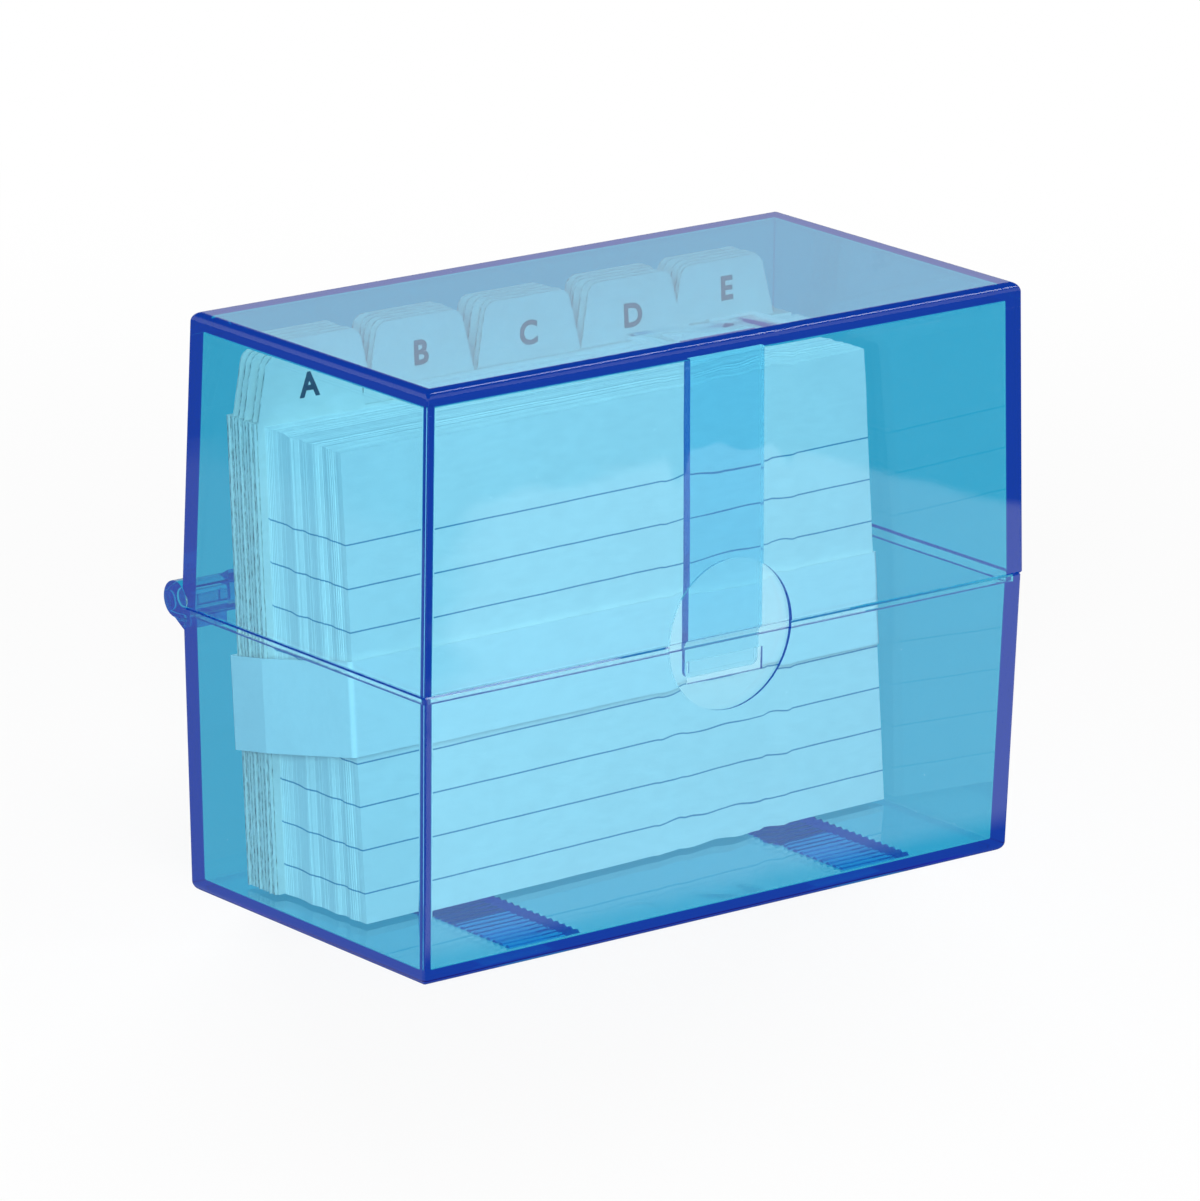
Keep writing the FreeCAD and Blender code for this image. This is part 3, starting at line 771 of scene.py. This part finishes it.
@dataclass(frozen=True)
class CardPacks:
    """The pile of ruled cards, ten thin sheets to a pack.

    The packs of one group, from the first to before the last, lie on one line.
    """

    packs: int = 10
    cards: int = 10
    width: float = 105.0 * MM
    height: float = 74.0 * MM
    air_share: float = 0.06
    side_slip: float = 0.035 * MM
    far_slip: float = 0.12 * MM
    far_odds: float = 0.05
    top_slip: float = 0.12 * MM
    groups: tuple[tuple[int, int], ...] = ((0, 2), (2, 10))
    columns: int = 8
    rows: int = 6
    seed: int = 7

    @staticmethod
    def corners(name: str) -> np.ndarray:
        """Find the eight corners of a pack's solid.

        Args:
            name: The pack's node.

        Returns:
            An array by side (left, right), face (front, back) and end (foot, top).
        """
        points = node_points(name)
        low, high = points.min(axis=0), points.max(axis=0)
        middle = (low + high) / 2
        found = np.zeros((2, 2, 2, 3))
        for side in range(2):
            for end in range(2):
                part = points[((points[:, 0] > middle[0]) == bool(side))
                              & ((points[:, 2] > middle[2]) == bool(end))]
                found[side, 0, end] = part[part[:, 1].argmin()]
                found[side, 1, end] = part[part[:, 1].argmax()]
            found[side, :, :, 0] = high[0] if side else low[0]
        return found

    def even_out(self, corner: np.ndarray) -> np.ndarray:
        """Spread the steps between packs over their cards, group by group.

        Args:
            corner: Every pack's corners, by pack, side, face, end and axis.

        Returns:
            Each card's corners, by card, side, face (front, back), end and axis. The
            depth is a share of the pack's own; across and up, a card lies on the
            line through the middles of the packs of its group.
        """
        total = np.arange(self.packs * self.cards)
        air = self.air_share / 2
        edges = total[:, None] % self.cards + np.array([air, 1 - air])
        share = (edges / self.cards)[:, None, :, None, None]
        own = corner[total // self.cards]
        cards = own[:, :, :1] * (1.0 - share) + own[:, :, 1:] * share
        middle = corner.mean(axis=2)
        place = (total + 0.5) / self.cards - 0.5
        for first, last in self.groups:
            packs = np.arange(first, last)
            chosen = slice(first * self.cards, last * self.cards)
            for side, end, axis in np.ndindex(2, 2, 3):
                if axis != 1:
                    known = middle[packs, side, end, axis]
                    line = np.interp(place[chosen], packs, known)
                    cards[chosen, side, :, end, axis] = line[:, None]
        return cards

    def card(
        self, corner: np.ndarray, slip: float, drop: float
    ) -> tuple[np.ndarray, np.ndarray, np.ndarray]:
        """Place one card, each face the bilinear patch of its four corners.

        Args:
            corner: The card's corners, by side, face, end and axis.
            slip: How far it is pushed to the right.
            drop: How much lower its top stands.

        Returns:
            The front grid, the back grid and the flat map.
        """
        u = np.linspace(0.0, 1.0, self.columns)[:, None, None]
        v = np.linspace(0.0, 1.0, self.rows)[None, :, None]
        shift = np.array([slip, 0.0, 0.0]) - v * np.array([0.0, 0.0, drop])
        grids = []
        for face in range(2):
            left, right = (
                corner[side, face, 0] * (1.0 - v) + corner[side, face, 1] * v
                for side in range(2)
            )
            grids.append(left * (1.0 - u) + right * u + shift)
        across, up = u[..., 0] * self.width, v[..., 0] * self.height
        flat = np.stack(np.broadcast_arrays(across, up), -1)
        return grids[0], grids[1], flat * MAP_PER_METRE

    def build(self, material: bpy.types.Material) -> None:
        """Build every pack, each in place of its solid.

        Args:
            material: The ruled card's finish.
        """
        random = np.random.default_rng(self.seed)
        names = [f"cards_{number:02d}" for number in range(1, self.packs + 1)]
        cards = self.even_out(np.array([self.corners(name) for name in names]))
        total = len(cards)
        far = random.random(total) < self.far_odds
        reach = np.where(far, self.far_slip, self.side_slip)
        slips = random.uniform(-1.0, 1.0, total) * reach
        drops = random.random(total) * self.top_slip
        for pack, name in enumerate(names):
            pile = SheetPile()
            for card in range(pack * self.cards, (pack + 1) * self.cards):
                pile.add(*self.card(cards[card], slips[card], drops[card]))
            piece = pile.build(f"{name}_sheets", material, Layer.CARD)
            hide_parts(name)
            LOG.info("built %s of %d cards", name, self.cards)


@dataclass(frozen=True)
class GuideSet:
    """The lettered guides: boards with a tab, and the letters on the tabs.

    The tabs stand in as many places as there are letter rises and shifts.
    """

    names: tuple[str, ...] = tuple("abcdefghijklmnopqrstuvw") + ("xy", "z")
    letter_height: float = 3.8 * MM
    letter_rises: tuple[float, ...] = (
        4.9 * MM, 4.4 * MM, 4.3 * MM, 4.0 * MM, 5.5 * MM
    )
    letter_shifts: tuple[float, ...] = (-0.3 * MM, 0.0, 0.0, 0.3 * MM, 0.8 * MM)
    letter_lift: float = 0.02 * MM
    letter_depth: float = 0.01 * MM
    stroke_offset: float = 0.034
    curve_steps: int = 4
    lean: float = math.radians(4.5)
    tab_height: float = 10.1 * MM
    tab_share: float = 0.6

    def outline(self, name: str) -> bpy.types.Mesh:
        """Make one letter's thin closed mesh, flat on the page.

        Args:
            name: The letter or letters.

        Returns:
            The mesh, for type of size 1.
        """
        curve = bpy.data.curves.new(f"letter_{name}_curve", "FONT")
        curve.body = name.upper()
        curve.align_x = "CENTER"
        curve.size = 1.0
        curve.offset = self.stroke_offset
        curve.extrude = 0.5 * self.letter_depth / self.letter_height
        curve.resolution_u = self.curve_steps
        text = new_object(f"letter_{name}_text", curve)
        bpy.context.view_layer.update()
        mesh = bpy.data.meshes.new_from_object(text)
        bpy.data.objects.remove(text)
        return mesh

    def stand(self, name: str, points: np.ndarray) -> np.ndarray:
        """Move a letter from the page to the leaning front of its guide's tab.

        Args:
            name: The letter or letters.
            points: The letter's points, scaled and level with its middle.

        Returns:
            The points in the box.
        """
        solid = node_points(f"divider_{name}")
        top = solid[:, 2].max()
        tab = solid[solid[:, 2] > top - self.tab_share * self.tab_height]
        middle = (tab[:, 0].min() + tab[:, 0].max()) / 2
        seat = self.names.index(name) % len(self.letter_rises)
        below_top = self.tab_height - self.letter_rises[seat]
        height = top - below_top * math.cos(self.lean)
        front = tab[tab[:, 1].argmin()]
        behind = (height - front[2]) * math.tan(self.lean)
        depth = front[1] + behind - self.letter_lift
        across, up, raised = points.T
        return np.stack([
            across + middle + self.letter_shifts[seat],
            depth + up * math.sin(self.lean) + raised,
            height + up * math.cos(self.lean),
        ], 1)

    def letter(self, name: str, ink: bpy.types.Material) -> None:
        """Print one index letter on the front of its guide's tab.

        Args:
            name: The letter or letters.
            ink: The ink's material.
        """
        mesh = self.outline(name)
        points = mesh_points(mesh)
        points *= self.letter_height / points[:, 1].max()
        points[:, 1] -= self.letter_height / 2
        placed = self.stand(name, points).astype(np.float32)
        mesh.vertices.foreach_set("co", placed.ravel())
        mesh.flip_normals()
        mesh.update()
        mesh.materials.clear()
        mesh.materials.append(ink)
        piece = new_object(f"letter_{name}", mesh)
        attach(piece, TRAY_BODY)
        LOG.info("printed %s", name)

    def build(self, board: bpy.types.Material, ink: bpy.types.Material) -> None:
        """Dress every guide and print its letter.

        Args:
            board: The guides' finish.
            ink: The letters' finish.
        """
        for name in self.names:
            dress(f"divider_{name}", board)
            self.letter(name, ink)


# Studio


@dataclass(frozen=True)
class Lamp:
    """A soft lamp: its place and size in metres, and its power in watts."""

    name: str
    place: Tone
    size: tuple[float, float]
    power: float
    mirrored: bool = False

    def hang(self, aim: Vector, shells: bpy.types.Collection) -> None:
        """Hang the lamp so that it faces a point.

        Args:
            aim: The point that it faces.
            shells: The mouldings that cast no shade in its light.
        """
        data = bpy.data.lights.new(self.name, "AREA")
        data.shape = "RECTANGLE"
        data.size, data.size_y = self.size
        data.energy = self.power
        place = Vector(self.place)
        lamp = new_object(self.name, data)
        lamp.location = place
        lamp.rotation_mode = "QUATERNION"
        lamp.rotation_quaternion = (aim - place).to_track_quat("-Z", "Y")
        lamp.visible_transmission = False
        lamp.visible_glossy = self.mirrored
        lamp.light_linking.blocker_collection = shells
        LOG.info("hung lamp %s", self.name)


LAMPS = (
    Lamp("key", (-1.1, -1.15, 0.55), (0.9, 0.9), 32.0),
    Lamp("overhead", (-0.3, -0.6, 1.4), (0.9, 0.9), 11.0),
    Lamp("rear", (1.0, 1.2, 0.6), (0.9, 0.9), 18.0),
    Lamp("streak", (0.95, -0.64, 1.12), (0.2, 0.45), 1.2, mirrored=True),
)


@dataclass(frozen=True)
class FloorGlare:
    """The bright patches of the floor in what the object mirrors, in metres.

    The slant is a straight limit: its first number times x, plus its second times
    y, plus its third, is above 0 on the bright side.
    """

    bright: float = 1.2
    side_bright: float = 0.5
    beyond: float = 0.15
    uneven_scale: float = 26.0
    uneven: float = 0.024
    front_right: float = 0.216
    front_near: float = -0.284
    front_slant: Tone = (0.76, 0.65, 0.0737)
    front_soft: float = 0.005
    # Painted shade: the floor right before the box is dark in what the box mirrors
    strip: tuple[float, float] = (0.036, 0.048)
    side_left: float = -0.24
    side_back: float = 0.27
    side_soft: float = 0.02
    side_right: float = -0.058

    def build(self, wire: Wiring) -> Socket:
        """Say how bright each place of the floor is in what the object mirrors.

        Two patches are bright, each within straight limits with a soft, uneven edge:
        one before the box and one, less bright, beside and behind it. The strip
        right before the box is as dark as the floor beyond the patches: a painted
        shade, where the box stands on the floor.

        Args:
            wire: The floor's wiring.

        Returns:
            The brightness.
        """
        place = wire.node("TexCoord").outputs["Object"]
        at = wire.split(place)
        x, y = at["X"], at["Y"]
        noise = wire.noise(place, self.uneven_scale)
        rough = wire.math("MULTIPLY_ADD", noise, self.uneven, -0.5 * self.uneven)

        across, up, start = self.front_slant
        slanted = wire.math("ADD", wire.math("MULTIPLY", y, up), start)
        slanted = wire.math("MULTIPLY_ADD", x, across, slanted)
        right = wire.math("SUBTRACT", self.front_right, x)
        near = wire.math("SUBTRACT", y, self.front_near)
        least = wire.math("MINIMUM", wire.math("MINIMUM", right, near), slanted)
        edge = wire.math("ADD", least, rough)
        front = wire.ramp(edge, -self.front_soft, self.front_soft)
        away = wire.math("MULTIPLY", y, -1.0)
        # Painted shade in the strip right before the box
        front = wire.math("MULTIPLY", front, wire.ramp(away, *self.strip))

        left = wire.math("SUBTRACT", x, self.side_left)
        back = wire.math("SUBTRACT", self.side_back, y)
        edge = wire.math("ADD", wire.math("MINIMUM", left, back), rough)
        beside = wire.ramp(edge, -self.side_soft, self.side_soft)
        clear = wire.math("LESS_THAN", x, self.side_right)
        beside = wire.math("MULTIPLY", beside, clear)

        bright = wire.math("MAXIMUM", wire.math("MULTIPLY", front, self.bright),
                           wire.math("MULTIPLY", beside, self.side_bright))
        return wire.math("MAXIMUM", bright, self.beyond)


@dataclass(frozen=True)
class Studio:
    """Pale floor, soft light and the camera."""

    eye: Tone = (-0.8165, -1.0220, 0.4188)
    azimuth: float = 38.584
    elevation: float = 15.977
    roll: float = 0.742
    lens: float = 260.46
    sensor: float = 36.0
    clip: tuple[float, float] = (0.05, 20.0)
    aim: Tone = (0.0, 0.0, 0.05)
    bounces: int = 24
    lighting: float = 0.12
    inside: float = 0.3
    seen_through_tone: Tone = (0.5, 1.0, 1.0)
    seen_through: float = 0.8
    mirrored: float = 0.74
    mirrored_above: float = 0.06
    above_from: tuple[float, float] = (0.36, 0.56)
    floor_half: float = 4.0
    floor_drop: float = 0.0003
    floor_tone: Tone = (0.85, 0.85, 0.85)
    floor_seen_through: float = 0.72
    shown_share: float = 0.8
    shade_reach: tuple[float, float] = (0.14, 0.5)

    def camera(self) -> None:
        """Place the camera: it looks along the azimuth, down by the elevation."""
        turn, dip, roll = (
            math.radians(angle) for angle in (self.azimuth, self.elevation, self.roll)
        )
        ahead = Vector((math.sin(turn) * math.cos(dip), math.cos(turn) * math.cos(dip),
                        -math.sin(dip)))
        right = ahead.cross(Vector((0, 0, 1))).normalized()
        up = right.cross(ahead)
        right, up = (
            right * math.cos(roll) + up * math.sin(roll),
            up * math.cos(roll) - right * math.sin(roll),
        )
        data = bpy.data.cameras.new("photo_camera")
        data.lens = self.lens
        data.sensor_width = self.sensor
        data.clip_start, data.clip_end = self.clip
        camera = new_object("photo_camera", data)
        turned = Matrix((right, up, -ahead)).transposed().to_4x4()
        camera.matrix_world = Matrix.Translation(Vector(self.eye)) @ turned
        bpy.context.scene.camera = camera

    def by_ray(self, wire: Wiring, mirrored: Socket, seen_through: float) -> Socket:
        """Pick a brightness by the kind of ray that meets the backdrop.

        Args:
            wire: The tree to build in.
            mirrored: The brightness for rays that the object mirrors.
            seen_through: The brightness for rays that pass the object.

        Returns:
            White for the camera, and for each other kind of ray its own level: seen
            through, lighting what is inside, mirrored or plain lighting.
        """
        rays = wire.node("LightPath").outputs
        straight = wire.math("LESS_THAN", rays["Diffuse Depth"], FIRST_DEPTH)
        passing = wire.math(
            "MULTIPLY_ADD", straight, seen_through - self.inside, self.inside
        )
        gained = wire.math("SUBTRACT", passing, self.lighting)
        level = wire.math(
            "MULTIPLY_ADD", rays["Is Transmission Ray"], gained, self.lighting
        )
        outside = wire.math("SUBTRACT", 1.0, rays["Is Transmission Ray"])
        gloss = wire.math("MULTIPLY", rays["Is Glossy Ray"], outside)
        gained = wire.math("SUBTRACT", mirrored, level)
        level = wire.math("MULTIPLY_ADD", gloss, gained, level)
        gained = wire.math("SUBTRACT", 1.0, level)
        return wire.math("MULTIPLY_ADD", rays["Is Camera Ray"], gained, level)

    def backdrop_tone(self, wire: Wiring) -> Socket:
        """Colour the backdrop.

        Args:
            wire: The tree to build in.

        Returns:
            White, or the cooler tone for rays that pass the clear walls.
        """
        passing = wire.node("LightPath").outputs["Is Transmission Ray"]
        return wire.mix(passing, (1.0, 1.0, 1.0), self.seen_through_tone)

    def world(self) -> None:
        """Hang the backdrop: white to the eye, and dark above where mirrored."""
        world = bpy.data.worlds.new("pale_studio")
        world.use_nodes = True
        bpy.context.scene.world = world
        wire = Wiring(world.node_tree)
        shown = world.node_tree.nodes["Background"].inputs
        toward = wire.split(wire.node("TexCoord").outputs["Generated"])
        above = wire.ramp(toward["Z"], *self.above_from)
        mirrored = wire.math(
            "MULTIPLY_ADD", above, self.mirrored_above - self.mirrored, self.mirrored
        )
        strength = self.by_ray(wire, mirrored, self.seen_through)
        wire.join(strength, shown["Strength"])
        wire.join(self.backdrop_tone(wire), shown["Color"])
        world.cycles.sampling_method = "NONE"

    def floor_share(self, wire: Wiring) -> Socket:
        """Say how much of the floor is its own white, the rest being matte.

        Args:
            wire: The floor's wiring.

        Returns:
            All of it for mirrored rays and far from the box, less near the box,
            where the matte part shows the shade, and none for rays that light.
        """
        rays = wire.node("LightPath").outputs
        straight = wire.math("LESS_THAN", rays["Diffuse Depth"], FIRST_DEPTH)
        passing = wire.math("MULTIPLY", rays["Is Transmission Ray"], straight)
        length = wire.node("VectorMath", operation="LENGTH")
        wire.join(wire.node("TexCoord").outputs["Object"], length.inputs[0])
        far = wire.ramp(length.outputs["Value"], *self.shade_reach)
        own = wire.math("MULTIPLY_ADD", far, 1.0 - self.shown_share, self.shown_share)
        shown = wire.math("MAXIMUM", rays["Is Camera Ray"], passing)
        shown = wire.math("MULTIPLY", shown, own)
        return wire.math("MAXIMUM", shown, rays["Is Glossy Ray"])

    def floor(self) -> None:
        """Lay the pale floor, white to the eye where nothing shades it."""
        half, level = self.floor_half, -self.floor_drop
        mesh = bpy.data.meshes.new("floor")
        mesh.from_pydata(
            [(-half, -half, level), (half, -half, level),
             (half, half, level), (-half, half, level)],
            [], [(0, 1, 2, 3)])
        material, wire, unused = new_material("pale_floor")
        nodes = material.node_tree.nodes
        nodes.remove(unused)
        matte = wire.node("BsdfDiffuse")
        matte.inputs["Color"].default_value = (*self.floor_tone, 1.0)
        white = wire.node("Emission")
        mirrored = FloorGlare().build(wire)
        strength = self.by_ray(wire, mirrored, self.floor_seen_through)
        wire.join(strength, white.inputs["Strength"])
        wire.join(self.backdrop_tone(wire), white.inputs["Color"])
        mix = wire.node("MixShader")
        wire.join(self.floor_share(wire), mix.inputs[0])
        wire.join(matte.outputs[0], mix.inputs[1])
        wire.join(white.outputs[0], mix.inputs[2])
        wire.join(mix.outputs[0], nodes["Material Output"].inputs["Surface"])
        mesh.materials.append(material)
        new_object("floor", mesh)

    @staticmethod
    def clear_shells() -> bpy.types.Collection:
        """List the clear mouldings, which the lamps shine through without shade.

        Returns:
            The list, for the lamps to leave out as blockers.
        """
        shells = bpy.data.collections.new("clear_shells")
        for name in CLEAR_MOULDINGS:
            shells.objects.link(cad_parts[name])
        for entry in shells.collection_objects:
            entry.light_linking.link_state = "EXCLUDE"
        return shells

    def build(self) -> None:
        """Set up the whole studio."""
        self.camera()
        self.world()
        self.floor()
        shells = self.clear_shells()
        for lamp in LAMPS:
            lamp.hang(Vector(self.aim), shells)
        scene = bpy.context.scene
        scene.view_settings.view_transform = "Standard"
        for kind in ("max_bounces", "glossy_bounces", "transmission_bounces",
                     "transparent_max_bounces"):
            setattr(scene.cycles, kind, self.bounces)


def main() -> None:
    """Build the box's looks in order and report each piece."""
    logging.basicConfig(level=logging.INFO, format="%(message)s")
    effects = SharedEffects()
    plastic = BluePlastic().build(effects)
    for name in CLEAR_MOULDINGS:
        dress(name, plastic)
    CardPacks().build(RULED_CARD.build(effects))
    GuideSet().build(GREY_BOARD.build(effects), PrintingInk().build(effects))
    dress("paper_band", WHITE_BAND.build(effects))
    Studio().build()


if __name__ == "__main__":
    main()
